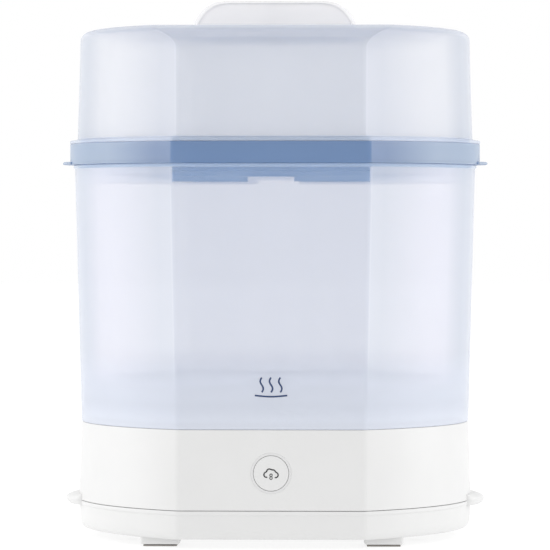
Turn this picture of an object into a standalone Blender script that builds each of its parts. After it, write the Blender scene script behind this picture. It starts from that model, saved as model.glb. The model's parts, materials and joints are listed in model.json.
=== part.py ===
"""Electric steam steriliser for feeding bottles: a heating base, a bottle tub with its rack, an upper tray and a lid.

The four storeys stack by their rims and lift straight off. Sizes are in metres. The origin is on the table under
the middle of the object, +Z is up, and the front, with the start button, faces -Y.
"""

import math

import bmesh
import bpy
from mathutils import Vector

# ---------------------------------------------------------------- driving dimensions

GAP = 0.0003  # air left between two pieces that touch
PLAN_POWER = 1.9  # the rounded ends follow a superellipse, a little fuller on the diagonal than an ellipse
PLAN_SQUASH = 0.002  # how much less the plan's half depth is than its half width
LOBE_STEPS = 12  # segments round each rounded end
FACET_STEPS = 4  # segments along the flat front and along the flat back

FOOT_PAD = 0.0010
COVER_BOTTOM = 0.0058
SEAM = 0.0248  # top of the bottom cover; the housing starts one gap above it
BASIN_FLOOR = 0.0573
BASE_TOP = 0.0774
TUB_BOTTOM = BASE_TOP + GAP
TUB_FLOOR = 0.0809
TUB_RIM = 0.2497
TRAY_LEDGE = TUB_RIM + GAP
TRAY_TOP = 0.2640
LID_BOTTOM = TRAY_TOP + GAP
LID_TOP = 0.3402
LID_RECESS = 0.3355  # the floor that the handle stands on
HANDLE_TOP = 0.3610

BASE_TOP_WIDTH = 0.1307  # half widths of the plan at named heights
BASE_FOOT_WIDTH = 0.1326
TUB_FOOT_WIDTH = 0.1303
TUB_TOP_WIDTH = 0.1345
BAND_WIDTH = 0.1385
LID_FOOT_WIDTH = 0.1335
LID_SHOULDER_WIDTH = 0.1316
BASE_FACET = 0.0608  # half widths of the flat front facet
RIM_FACET = 0.0640
LID_FACET = 0.0604

BUTTON_HEIGHT = 0.0493
BUTTON_RADIUS = 0.0114
UPPER_LIP = [(0.0087, SEAM + GAP), (0.0084, 0.0264), (0.0058, 0.0280), (0.0012, 0.0291)]  # (reach, height)
LOWER_LIP = [(0.0066, 0.0218), (0.0084, 0.0229), (0.0087, SEAM)]
GLAND_X = 0.042
GLAND_HEIGHT = 0.038
PLATE_HOLE = 0.062  # radius of the hole in the basin floor
BRACKET_REACH = 0.078  # x of the two screws that hold the heater bracket
FOOT_X, FOOT_Y = 0.073, 0.080
COVER_SCREW_X, COVER_SCREW_Y = 0.095, 0.040
BOARD_SCREW_X, BOARD_SCREW_DROP = 0.028, 0.0095
BOTTLE_SEATS = [(0, -0.070), (0, 0.070), (-0.084, -0.035), (-0.084, 0.035), (0.084, -0.035), (0.084, 0.035)]

# ---------------------------------------------------------------- scene and materials

for old in list(bpy.data.objects):
    bpy.data.objects.remove(old, do_unlink=True)

parts = bpy.data.collections.new("bottle_steriliser")
cutters = bpy.data.collections.new("cutters")
bpy.context.scene.collection.children.link(parts)
bpy.context.scene.collection.children.link(cutters)


def material(name, colour, roughness, metallic=0.0):
    made = bpy.data.materials.new(name)
    made.use_nodes = True
    shader = made.node_tree.nodes["Principled BSDF"]
    shader.inputs["Base Color"].default_value = (*colour, 1.0)
    shader.inputs["Roughness"].default_value = roughness
    shader.inputs["Metallic"].default_value = metallic
    return made


WHITE = material("white_plastic", (0.86, 0.86, 0.85), 0.4)
FROSTED = material("frosted_plastic", (0.74, 0.79, 0.88), 0.3)
BLUE = material("blue_plastic", (0.22, 0.33, 0.56), 0.35)
MILKY = material("milky_plastic", (0.86, 0.87, 0.90), 0.35)
STEEL = material("stainless_steel", (0.62, 0.62, 0.63), 0.25, 1.0)
ALUMINIUM = material("aluminium", (0.70, 0.70, 0.71), 0.4, 1.0)
SILICONE = material("silicone", (0.72, 0.73, 0.74), 0.6)
RUBBER = material("grey_rubber", (0.20, 0.20, 0.20), 0.8)
BOARD = material("circuit_board", (0.05, 0.25, 0.12), 0.5)
BLACK = material("black_plastic", (0.03, 0.03, 0.03), 0.5)
LAMP = material("lamp", (0.30, 0.45, 0.85), 0.2)
BROWN_WIRE = material("brown_wire", (0.24, 0.10, 0.04), 0.5)
BLUE_WIRE = material("blue_wire", (0.05, 0.14, 0.50), 0.5)
EARTH_WIRE = material("earth_wire", (0.35, 0.50, 0.05), 0.5)

# ---------------------------------------------------------------- outlines, one ring of points each


def facet_depth(half_width, half_facet):
    """Distance of the flat facet from the middle, where the rounded end has come in to half_facet."""
    half_depth = half_width - PLAN_SQUASH
    share = 1 - (half_facet / half_width) ** PLAN_POWER
    return half_depth * share ** (1 / PLAN_POWER)


def facet_reach(half_width, depth):
    """The other way round: how wide half the flat facet is when it stands this far from the middle."""
    share = 1 - (depth / (half_width - PLAN_SQUASH)) ** PLAN_POWER
    return half_width * share ** (1 / PLAN_POWER)


def plan(half_width, height, half_facet=BASE_FACET):
    """The body's outline: rounded left and right ends, flat front and back facets."""
    half_depth = half_width - PLAN_SQUASH
    flat = facet_depth(half_width, half_facet)
    last = math.asin((flat / half_depth) ** (PLAN_POWER / 2))
    right, back = [], []
    for step in range(LOBE_STEPS + 1):
        turn = last * (2 * step / LOBE_STEPS - 1)
        x = half_width * math.cos(turn) ** (2 / PLAN_POWER)
        y = half_depth * abs(math.sin(turn)) ** (2 / PLAN_POWER)
        right.append((x, math.copysign(y, turn)))
    for step in range(1, FACET_STEPS):
        back.append((half_facet * (1 - 2 * step / FACET_STEPS), flat))
    half = right + back
    return [(x, y, height) for x, y in half + [(-x, -y) for x, y in half]]


DIRECTIONS = [math.atan2(y, x) for x, y, _ in plan(BASE_TOP_WIDTH, 0)]


def oval(half_x, half_y, height, power=2.0):
    """An oval with as many points as plan() has, in the same directions, so that the two can be joined."""
    ring = []
    for turn in DIRECTIONS:
        c, s = math.cos(turn), math.sin(turn)
        x = half_x * math.copysign(abs(c) ** (2 / power), c)
        y = half_y * math.copysign(abs(s) ** (2 / power), s)
        ring.append((x, y, height))
    return ring


def circle(radius, height):
    return oval(radius, radius, height)


def wall_x(y, half_width):
    """How far out the rounded end stands at depth y."""
    share = 1 - abs(y / (half_width - PLAN_SQUASH)) ** PLAN_POWER
    return half_width * share ** (1 / PLAN_POWER)


# ---------------------------------------------------------------- modelling helpers


def link(obj, paint=None):
    parts.objects.link(obj)
    if paint:
        obj.data.materials.append(paint)
    return obj


def smooth(obj, angle=35):
    obj.data.shade_smooth()
    obj.data.set_sharp_from_angle(angle=math.radians(angle))
    return obj


def loft(name, rings, paint, closed=False):
    """A solid whose skin runs through the rings in order. Its ends are capped, or joined to each other if closed."""
    bm = bmesh.new()
    loops = [[bm.verts.new(point) for point in ring] for ring in rings]
    pairs = list(zip(loops, loops[1:]))
    if closed:
        pairs.append((loops[-1], loops[0]))
    else:
        bm.faces.new(loops[0])
        bm.faces.new(loops[-1])
    for near, far in pairs:
        for i in range(len(near)):
            j = (i + 1) % len(near)
            bm.faces.new((near[i], near[j], far[j], far[i]))
    bmesh.ops.recalc_face_normals(bm, faces=bm.faces)
    mesh = bpy.data.meshes.new(name)
    bm.to_mesh(mesh)
    bm.free()
    return smooth(link(bpy.data.objects.new(name, mesh), paint))


def turned(name, profile, paint, steps=32, ring=False, parent=None, location=(0, 0, 0)):
    """A turned piece. The profile lists (radius, height) down the outer side; a ring's profile closes on itself."""
    points = [(radius, 0, height) for radius, height in profile]
    edges = [(i, i + 1) for i in range(len(points) - 1)]
    if ring:
        edges.append((len(points) - 1, 0))
    mesh = bpy.data.meshes.new(name)
    mesh.from_pydata(points, edges, [])
    obj = link(bpy.data.objects.new(name, mesh), paint)
    screw = obj.modifiers.new("turn", "SCREW")
    screw.steps = screw.render_steps = steps
    screw.use_merge_vertices = True
    screw.merge_threshold = 1e-5
    obj.parent = parent
    obj.location = location
    return obj


def rod(name, radius, low, high, paint, steps=24, parent=None, at=(0, 0)):
    """A plain cylinder that stands at `at` from height low to height high."""
    bm = bmesh.new()
    bmesh.ops.create_cone(bm, cap_ends=True, segments=steps, radius1=radius, radius2=radius, depth=high - low)
    bmesh.ops.translate(bm, vec=(0, 0, (low + high) / 2), verts=bm.verts)
    mesh = bpy.data.meshes.new(name)
    bm.to_mesh(mesh)
    bm.free()
    obj = smooth(link(bpy.data.objects.new(name, mesh), paint))
    obj.parent = parent
    obj.location = (*at, 0)
    return obj


def block(name, size, centre, paint, parent=None, bevel=0.0):
    bm = bmesh.new()
    bmesh.ops.create_cube(bm, size=1)
    bmesh.ops.scale(bm, vec=Vector(size), verts=bm.verts)
    mesh = bpy.data.meshes.new(name)
    bm.to_mesh(mesh)
    bm.free()
    obj = link(bpy.data.objects.new(name, mesh), paint)
    obj.parent = parent
    obj.location = centre
    if bevel:
        edge = obj.modifiers.new("rounded", "BEVEL")
        edge.width = bevel
        edge.segments = 2
    return obj


def helper(obj):
    """Makes obj a cutter or a join operand, which isn't a piece of the object."""
    parts.objects.unlink(obj)
    cutters.objects.link(obj)
    obj.hide_render = True
    obj.display_type = "WIRE"
    return obj


def combine(obj, other, operation):
    change = obj.modifiers.new(f"{operation.lower()} {other.name}", "BOOLEAN")
    change.operation = operation
    change.object = helper(other)
    return obj


def cut(obj, other):
    return combine(obj, other, "DIFFERENCE")


def join(obj, other):
    return combine(obj, other, "UNION")


def many(name, makers):
    """One helper object that holds several separate solids, each made by a call that returns an object."""
    bm = bmesh.new()
    for maker in makers:
        single = maker()
        bpy.context.view_layer.update()
        graph = bpy.context.evaluated_depsgraph_get()
        evaluated = single.evaluated_get(graph)
        shape = evaluated.to_mesh()
        shape.transform(evaluated.matrix_world)
        bm.from_mesh(shape)
        evaluated.to_mesh_clear()
        bpy.data.objects.remove(single, do_unlink=True)
    mesh = bpy.data.meshes.new(name)
    bm.to_mesh(mesh)
    bm.free()
    return link(bpy.data.objects.new(name, mesh))


def rods(name, places, radius, low, high, steps=14, parent=None):
    return many(name, [lambda at=at: rod(name, radius, low, high, None, steps, parent, at) for at in places])


def curved_path(points, per_span=6):
    """Catmull-Rom points through the given ones."""
    knots = [Vector(p) for p in points]
    knots = [2 * knots[0] - knots[1], *knots, 2 * knots[-1] - knots[-2]]
    path = []
    for a, b, c, d in zip(knots, knots[1:], knots[2:], knots[3:]):
        for step in range(per_span):
            t = step / per_span
            bend = (2 * a - 5 * b + 4 * c - d) * t**2 + (3 * b - a - 3 * c + d) * t**3
            path.append(0.5 * (2 * b + (c - a) * t + bend))
    return [*path, knots[-2]]


def tube(name, path, radius, paint, parent=None, sides=1):
    """A round rod along the path, with filled ends."""
    curve = bpy.data.curves.new(name, "CURVE")
    curve.dimensions = "3D"
    curve.bevel_depth = radius
    curve.bevel_resolution = sides
    curve.use_fill_caps = True
    spline = curve.splines.new("POLY")
    spline.points.add(len(path) - 1)
    for point, place in zip(spline.points, path):
        point.co = (*place, 1)
    obj = link(bpy.data.objects.new(name, curve), paint)
    obj.parent = parent
    return obj


def screw(name, head_radius, head, shank_radius, shank, paint=STEEL, parent=None, at=(0, 0)):
    """A pan-head screw. head and shank are (height of the end, height where it starts), driven towards +Z or -Z."""
    tip, neck = shank
    outer, inner = head
    rounding = 0.3 * (inner - outer)
    profile = [
        (0, outer),
        (head_radius - abs(rounding), outer),
        (head_radius, outer + rounding),
        (head_radius, inner),
        (shank_radius, neck),
        (shank_radius, tip - math.copysign(shank_radius, tip - neck)),
        (0, tip),
    ]
    if tip > outer:
        profile.reverse()
    return turned(name, profile, paint, 12, parent=parent, location=(*at, 0))


FRONT_TILT = math.atan2(
    facet_depth(BASE_FOOT_WIDTH, BASE_FACET) - facet_depth(BASE_TOP_WIDTH, BASE_FACET), BASE_TOP - SEAM
)


def facet_frame(name, x, height, side):
    """An empty on the base's front (side -1) or back (side +1) facet, whose +Z points straight into the wall."""
    drop = (height - SEAM) * math.tan(FRONT_TILT)
    empty = bpy.data.objects.new(name, None)
    parts.objects.link(empty)
    empty.location = (x, side * (facet_depth(BASE_FOOT_WIDTH, BASE_FACET) - drop), height)
    empty.rotation_euler = (side * (math.pi / 2 + FRONT_TILT), 0, 0)
    return empty


def side_lip(name, half_width, half_length, levels):
    """Left and right lips that follow the rounded ends. levels lists (reach beyond the wall, height)."""
    root = 0.0012  # how deep the lip is sunk into the wall
    steps = 8
    rings = []
    for reach, height in levels:
        ends = [half_length * (2 * step / steps - 1) for step in range(steps + 1)]
        inner = [(wall_x(y, half_width) - root, y, height) for y in ends]
        outer = [
            (wall_x(y, half_width) + 0.0002 + reach * math.sqrt(1 - (y / half_length) ** 2), y, height)
            for y in reversed(ends)
        ]
        rings.append(inner + outer)
    sides = []
    for sign in (-1, 1):
        flipped = [[(sign * x, y, z) for x, y, z in ring] for ring in rings]
        sides.append(lambda flipped=flipped: loft(name, flipped, None))
    return many(name, sides)


# ---------------------------------------------------------------- heating base: the two shells


def base_housing():
    top_edge = 0.0007
    wall_foot = SEAM + GAP
    housing = loft(
        "base_housing",
        [
            plan(BASE_TOP_WIDTH - top_edge, BASE_TOP),
            plan(BASE_TOP_WIDTH, BASE_TOP - top_edge),
            plan(BASE_FOOT_WIDTH, wall_foot),
            plan(BASE_FOOT_WIDTH - 0.0024, wall_foot),
            plan(0.1284, 0.0676),
            plan(0.1256, 0.0676),
            plan(0.1214, 0.0664),
            plan(0.1172, 0.0583),
            plan(0.1140, BASIN_FLOOR - 0.0025),
            circle(PLATE_HOLE, BASIN_FLOOR - 0.0025),
            circle(PLATE_HOLE, BASIN_FLOOR),
            plan(0.1148, BASIN_FLOOR),
            plan(0.1192, 0.0606),
            plan(0.1234, 0.0688),
            plan(0.1260, 0.0702),
            plan(0.1273, 0.0708),
            plan(0.1273, BASE_TOP - 0.0005),
            plan(0.1278, BASE_TOP),
        ],
        WHITE,
        closed=True,
    )
    into_floor = BASIN_FLOOR - 0.0012
    join(housing, side_lip("upper_lips", BASE_FOOT_WIDTH, 0.027, UPPER_LIP))
    corners = [(x, y) for x in (-COVER_SCREW_X, COVER_SCREW_X) for y in (-COVER_SCREW_Y, COVER_SCREW_Y)]
    join(housing, rods("cover_bosses", corners, 0.0048, 0.0155, into_floor))
    bracket_ends = [(-BRACKET_REACH, 0), (BRACKET_REACH, 0)]
    join(housing, rods("bracket_bosses", bracket_ends, 0.0050, 0.0446, into_floor))
    board_ends = [(-BOARD_SCREW_X, BOARD_SCREW_DROP), (BOARD_SCREW_X, BOARD_SCREW_DROP)]
    join(housing, rods("board_bosses", board_ends, 0.0032, 0.0012, 0.0146, parent=button_frame))
    cut(housing, rods("cover_boss_holes", corners, 0.0019, 0.0100, 0.0340, 12))
    cut(housing, rods("bracket_boss_holes", bracket_ends, 0.0018, 0.0400, 0.0540, 12))
    cut(housing, rods("board_boss_holes", board_ends, 0.0015, 0.0060, 0.0200, 12, button_frame))
    cut(housing, rod("button_hole", 0.0134, -0.0040, 0.0090, None, 32, button_frame))
    cut(housing, rod("gland_hole", 0.0063, -0.0040, 0.0090, None, 24, gland_frame))


def bottom_cover():
    cover = loft(
        "bottom_cover",
        [
            plan(0.1252, COVER_BOTTOM + 0.0024),
            plan(0.1275, COVER_BOTTOM + 0.0046),
            plan(0.1278, SEAM + 0.0033),
            plan(0.1296, SEAM + 0.0033),
            plan(0.1296, SEAM),
            plan(0.1329, SEAM),
            plan(0.1329, SEAM - 0.0024),
            plan(0.1323, SEAM - 0.0030),
            plan(0.1316, 0.0096),
            plan(0.1309, 0.0076),
            plan(0.1294, 0.0063),
            plan(0.1268, COVER_BOTTOM),
        ],
        WHITE,
    )
    join(cover, side_lip("lower_lips", 0.1324, 0.027, LOWER_LIP))
    foot_size = (0.0260, 0.0260, 0.0065)
    feet = [(x, y) for x in (-FOOT_X, FOOT_X) for y in (-FOOT_Y, FOOT_Y)]
    foot_middle = FOOT_PAD + GAP + foot_size[2] / 2
    blocks = [lambda at=at: block("feet", foot_size, (*at, foot_middle), None, bevel=0.0016) for at in feet]
    join(cover, many("feet", blocks))
    corners = [(x, y) for x in (-COVER_SCREW_X, COVER_SCREW_X) for y in (-COVER_SCREW_Y, COVER_SCREW_Y)]
    join(cover, rods("screw_columns", corners, 0.0062, COVER_BOTTOM + 0.0004, 0.0152))
    cut(cover, rods("screw_holes", corners, 0.0022, 0.0000, 0.0200, 12))
    cut(cover, rods("screw_recesses", corners, 0.0045, 0.0000, 0.0110, 16))
    for x in (-FOOT_X, FOOT_X):
        for y in (-FOOT_Y, FOOT_Y):
            name = f"rubber_foot_{'front' if y < 0 else 'rear'}_{'left' if x < 0 else 'right'}"
            block(name, (0.0220, 0.0220, FOOT_PAD), (x, y, FOOT_PAD / 2), RUBBER)
    for x, y in corners:
        name = f"cover_screw_{'front' if y < 0 else 'rear'}_{'left' if x < 0 else 'right'}"
        screw(name, 0.0039, (0.0080, 0.0107), 0.0015, (0.0300, 0.0107), at=(x, y))


# ---------------------------------------------------------------- heating base: what is inside


def heater():
    sheet = 0.0008
    dish = BASIN_FLOOR - 0.0014  # top of the dish's floor
    flange = BASIN_FLOOR + 0.0022
    turned(
        "heating_plate",
        [
            (0, dish),
            (0.0540, dish),
            (0.0585, flange - 0.0006),
            (0.0595, flange),
            (0.0682, flange),
            (0.0690, flange - 0.0004),
            (0.0690, flange - sheet),
            (0.0598, flange - sheet),
            (0.0588, flange - 0.0015),
            (0.0544, dish - sheet),
            (0, dish - sheet),
        ],
        STEEL,
        40,
    )
    gasket_top, gasket_foot = flange - sheet - GAP, BASIN_FLOOR + GAP
    turned(
        "plate_gasket",
        [(0.0685, gasket_top), (0.0685, gasket_foot), (0.0625, gasket_foot), (0.0625, gasket_top)],
        SILICONE,
        36,
        ring=True,
    )
    spreader_top = dish - sheet - GAP
    spreader_foot = spreader_top - 0.0035
    rod("heat_spreader", 0.048, spreader_foot, spreader_top, ALUMINIUM, 40)

    tube_radius, loop_radius = 0.0032, 0.036
    loop_height = spreader_foot - GAP - tube_radius
    opening = math.radians(20)  # half the gap between the two ends, at the back of the loop
    loop = []
    for step in range(25):
        turn = math.pi / 2 + opening + (2 * math.pi - 2 * opening) * step / 24
        loop.append(Vector((loop_radius * math.cos(turn), loop_radius * math.sin(turn), loop_height)))
    leg_bend = [(0.0010, -0.0012), (0.0018, -0.0040), (0.0018, -0.0115)]
    first_leg = [loop[0] + Vector((along, 0, down)) for along, down in reversed(leg_bend)]
    last_leg = [loop[-1] + Vector((-along, 0, down)) for along, down in leg_bend]
    tube("heater_tube", [*first_leg, *loop, *last_leg], tube_radius, STEEL, sides=2)

    thermostat_top = spreader_foot - GAP
    body = turned(
        "thermostat",
        [
            (0, thermostat_top),
            (0.0080, thermostat_top),
            (0.0080, 0.0410),
            (0.0065, 0.0400),
            (0.0065, 0.0360),
            (0, 0.0360),
        ],
        BLACK,
        24,
    )
    for x in (-0.004, 0.004):
        join(body, block(f"thermostat_tab_{x}", (0.0008, 0.0063, 0.0080), (x, 0, 0.0330), None))
    fuse = rod("thermal_fuse", 0.0022, -0.0070, 0.0070, STEEL, 16)
    fuse.location = (0, -0.0220, thermostat_top - 0.0024)
    fuse.rotation_euler = (0, math.pi / 2, 0)

    strip = (2 * BRACKET_REACH + 0.012, 0.016, 0.0016)
    middle = 0.0435
    bracket = block("heater_bracket", strip, (0, 0, middle), STEEL)
    join(bracket, rod("bracket_disc", 0.018, middle - 0.0008, middle + 0.0008, None, 32))
    cut(bracket, rod("bracket_window", 0.0095, 0.040, 0.047, None, 24))
    ends = [(-BRACKET_REACH, 0), (BRACKET_REACH, 0)]
    cut(bracket, rods("bracket_holes", ends, 0.0022, 0.040, 0.047, 12))
    for (x, y), side in zip(ends, ("left", "right")):
        screw(f"bracket_screw_{side}", 0.0036, (0.0399, 0.0424), 0.0014, (0.0520, 0.0424), at=(x, y))


def button_and_board():
    """Everything on the button's axis. Heights are depths behind the front facet."""
    turned(
        "light_ring",
        [(0.0160, 0.0042), (0.0160, 0.0031), (0.0131, 0.0031), (0.0131, 0.0), (0.0118, 0.0), (0.0118, 0.0042)],
        MILKY,
        32,
        ring=True,
        parent=button_frame,
    )
    turned(
        "start_button",
        [
            (0, 0.0098),
            (0.0026, 0.0098),
            (0.0026, 0.0019),
            (0.0096, 0.0019),
            (0.0096, 0.0056),
            (0.0136, 0.0056),
            (0.0136, 0.0046),
            (BUTTON_RADIUS, 0.0046),
            (BUTTON_RADIUS, 0.0001),
            (BUTTON_RADIUS - 0.0004, -0.0003),
            (0, -0.0003),
        ],
        WHITE,
        32,
        parent=button_frame,
    )
    turns, per_turn, coil_radius, first, last = 4, 9, 0.0035, 0.0026, 0.0109
    coil = []
    for step in range(turns * per_turn + 1):
        turn = 2 * math.pi * step / per_turn
        depth = first + (last - first) * step / (turns * per_turn)
        coil.append((coil_radius * math.cos(turn), coil_radius * math.sin(turn), depth))
    tube("button_spring", coil, 0.0004, STEEL, button_frame)

    switch = block("switch_body", (0.009, 0.009, 0.0030), (0, 0, 0.0131), BLACK, button_frame)
    cut(switch, rod("plunger_hole", 0.0020, 0.0100, 0.0143, None, 16, button_frame))
    rod("switch_plunger", 0.0017, 0.0101, 0.0125, WHITE, 16, button_frame)

    board = block("control_board", (0.068, 0.027, 0.0016), (0, BOARD_SCREW_DROP, 0.0157), BOARD, button_frame)
    ends = [(-BOARD_SCREW_X, BOARD_SCREW_DROP), (BOARD_SCREW_X, BOARD_SCREW_DROP)]
    cut(board, rods("board_holes", ends, 0.0015, 0.0120, 0.0200, 12, button_frame))
    for (x, y), side in zip(ends, ("left", "right")):
        head, shank = (0.0186, 0.0168), (0.0080, 0.0168)
        screw(f"board_screw_{side}", 0.0028, head, 0.0011, shank, STEEL, button_frame, (x, y))
        lamp_at = (math.copysign(0.0144, x), 0)
        rod(f"indicator_lamp_{side}", 0.0015, 0.0080, 0.0146, LAMP, 12, button_frame, lamp_at)
    block("relay", (0.015, 0.012, 0.014), (0.016, 0.012, 0.0238), BLACK, button_frame)
    block("terminal_block", (0.014, 0.010, 0.009), (-0.016, 0.012, 0.0213), WHITE, button_frame)
    rod("capacitor", 0.0045, 0.0168, 0.0268, BLACK, 16, button_frame, (0, 0.014))


def cord_gland():
    """The bush that the mains lead passes through. Heights are depths behind the back facet."""
    turned(
        "cord_gland",
        [
            (0.0080, 0.0055),
            (0.0080, 0.0031),
            (0.0060, 0.0031),
            (0.0060, -0.0003),
            (0.0082, -0.0003),
            (0.0082, -0.0022),
            (0.0070, -0.0036),
            (0.0036, -0.0036),
            (0.0036, 0.0055),
        ],
        WHITE,
        24,
        ring=True,
        parent=gland_frame,
    )


def wiring():
    lead = 0.0012  # radius over the insulation
    routes = {
        "live_wire": (
            BROWN_WIRE,
            [
                (0.0405, 0.104, 0.0392),
                (0.039, 0.085, 0.030),
                (0.030, 0.050, 0.024),
                (0.024, 0.010, 0.024),
                (0.018, -0.014, 0.036),
                (0.0125, -0.0215, 0.0470),
                (0.0076, -0.0220, 0.0486),
            ],
        ),
        "fuse_lead": (
            BROWN_WIRE,
            [
                (-0.0076, -0.0220, 0.0486),
                (-0.015, -0.023, 0.0455),
                (-0.022, -0.014, 0.034),
                (-0.024, 0.016, 0.026),
                (-0.016, 0.031, 0.028),
                (-0.0105, 0.0338, 0.0352),
            ],
        ),
        "switch_lead": (
            BROWN_WIRE,
            [
                (0.016, -0.0813, 0.0362),
                (0.015, -0.070, 0.032),
                (0.009, -0.040, 0.024),
                (0.0045, -0.012, 0.022),
                (0.004, 0.0, 0.0274),
            ],
        ),
        "heater_lead": (
            BLUE_WIRE,
            [
                (-0.004, 0.0, 0.0274),
                (-0.004, 0.006, 0.020),
                (0.003, 0.020, 0.018),
                (0.010, 0.030, 0.026),
                (0.0105, 0.0338, 0.0352),
            ],
        ),
        "neutral_wire": (
            BLUE_WIRE,
            [
                (0.0440, 0.104, 0.0392),
                (0.0455, 0.085, 0.028),
                (0.048, 0.040, 0.018),
                (0.040, -0.020, 0.016),
                (0.010, -0.060, 0.017),
                (-0.014, -0.078, 0.026),
                (-0.016, -0.0862, 0.0362),
            ],
        ),
        "earth_wire": (
            EARTH_WIRE,
            [
                (0.0420, 0.104, 0.0356),
                (0.048, 0.084, 0.022),
                (0.064, 0.050, 0.016),
                (0.074, 0.020, 0.020),
                (0.0778, 0.004, 0.032),
                (0.078, 0.0, 0.0390),
            ],
        ),
    }
    for name, (paint, points) in routes.items():
        tube(name, curved_path(points, 4), lead, paint)


# ---------------------------------------------------------------- bottle tub and rack


def bottle_tub():
    tub = loft(
        "bottle_tub",
        [
            plan(0.1250, TUB_FLOOR),
            plan(0.1276, TUB_FLOOR + 0.0013),
            plan(0.1284, TUB_FLOOR + 0.0051),
            plan(0.1324, TUB_RIM - 0.0006, RIM_FACET),
            plan(0.1329, TUB_RIM, RIM_FACET),
            plan(0.1358, TUB_RIM, RIM_FACET),
            plan(0.1362, TUB_RIM - 0.0004, RIM_FACET),
            plan(0.1362, TUB_RIM - 0.0015, RIM_FACET),
            plan(TUB_TOP_WIDTH, TUB_RIM - 0.0021, RIM_FACET),
            plan(TUB_FOOT_WIDTH, TUB_BOTTOM),
            plan(0.1268, TUB_BOTTOM),
            plan(0.1266, TUB_BOTTOM - 0.0062),
            plan(0.1244, TUB_BOTTOM - 0.0062),
            plan(0.1242, TUB_FLOOR - 0.0019),
        ],
        FROSTED,
    )
    low, high = TUB_FLOOR - 0.004, TUB_FLOOR + 0.002
    cut(tub, rod("steam_inlet", 0.024, low, high, None, 32))
    ring = [(0.046 * math.cos(turn), 0.046 * math.sin(turn)) for turn in [math.pi / 5 * i for i in range(10)]]
    cut(tub, rods("steam_holes", ring, 0.006, low, high, 10))


def bottle_rack():
    foot, top = TUB_FLOOR + GAP, 0.1065
    web = 0.0022  # thickness of the top plate
    rack = loft("bottle_rack", [plan(0.1262, top - 0.0012 - web), plan(0.1262, top - 0.0012)], FROSTED)
    cut(rack, rods("seat_holes", BOTTLE_SEATS, 0.0261, foot, top + 0.004, 20))
    rim = loft(
        "rack_rim",
        [plan(0.1268, top), plan(0.1250, top), plan(0.1226, foot), plan(0.1244, foot)],
        None,
        closed=True,
    )
    join(rack, rim)
    collar = [(0.0272, top), (0.0272, foot), (0.0250, foot), (0.0250, top)]
    collars = [lambda at=at: turned("collars", collar, None, 20, True, None, (*at, 0)) for at in BOTTLE_SEATS]
    join(rack, many("collars", collars))
    cut(rack, rod("finger_hole", 0.0140, foot - 0.004, top + 0.004, None, 20))
    small = [(x, y) for x in (-0.040, 0.040) for y in (-0.082, -0.022, 0.022, 0.082)]
    cut(rack, rods("rack_steam_holes", small, 0.0070, foot - 0.004, top + 0.004, 10))


# ---------------------------------------------------------------- upper tray


def upper_tray():
    floor = 0.2434
    tray = loft(
        "upper_tray",
        [
            plan(0.1268, floor),
            plan(0.1290, floor + 0.0012),
            plan(0.1294, TRAY_LEDGE + 0.0016),
            plan(0.1298, TRAY_LEDGE + 0.0020),
            plan(0.1352, TRAY_LEDGE + 0.0020, RIM_FACET),
            plan(0.1360, TRAY_LEDGE + 0.0028, RIM_FACET),
            plan(0.1360, TRAY_TOP - 0.0005, RIM_FACET),
            plan(0.1365, TRAY_TOP, RIM_FACET),
            plan(BAND_WIDTH - 0.0004, TRAY_TOP, RIM_FACET),
            plan(BAND_WIDTH, TRAY_TOP - 0.0004, RIM_FACET),
            plan(BAND_WIDTH, TRAY_LEDGE + 0.0004, RIM_FACET),
            plan(BAND_WIDTH - 0.0004, TRAY_LEDGE, RIM_FACET),
            plan(0.1314, TRAY_LEDGE, RIM_FACET),
            plan(0.1312, 0.2440, RIM_FACET),
            plan(0.1296, 0.2430, RIM_FACET),
            plan(0.1292, 0.2380, RIM_FACET),
            plan(0.1274, 0.2380),
            plan(0.1272, floor - 0.0020),
        ],
        BLUE,
    )
    tab = [(0.0046, 0.2502), (0.0050, 0.2511), (0.0046, 0.2520)]  # (reach, height)
    join(tray, side_lip("lifting_tabs", BAND_WIDTH, 0.024, tab))
    cut(tray, block("skirt_notch", (0.032, 0.290, 0.0060), (0, 0, 0.2381), None))
    slots = []
    for row in (-2, -1, 0, 1, 2):
        y = 0.032 * row
        for x in (-0.060, 0, 0.060):
            slots.append(lambda x=x, y=y: block("tray_slots", (0.042, 0.006, 0.010), (x, y, floor), None))
    cut(tray, many("tray_slots", slots))


# ---------------------------------------------------------------- lid


def lid_top(inset, drop):
    """The lid's rounded top edge, offset inwards: tight round the ends, and a broad sweep over the facets."""
    edge = facet_depth(LID_SHOULDER_WIDTH, LID_FACET)
    sweep_height, sweep_depth = 0.0160 - drop / 2, 0.0240
    shoulder = [
        (0.0, 0.0170),
        (0.0, 0.0110),
        (0.0, 0.0075),
        (0.0010, 0.0042),
        (0.0031, 0.0020),
        (0.0064, 0.0007),
        (0.0110, 0.0),
    ]
    rings = []
    for narrower, below in shoulder:
        half_width = LID_SHOULDER_WIDTH - inset - narrower + 0.0001 * (below > 0.008)
        rise = max(0.0, min(1.0, 1 - (below - drop / 2) / sweep_height))
        depth = edge - inset - sweep_depth * (1 - math.sqrt(1 - rise**2))
        height = LID_TOP - drop - below
        rings.append(plan(half_width, height, facet_reach(half_width, depth)))
    return rings


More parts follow.
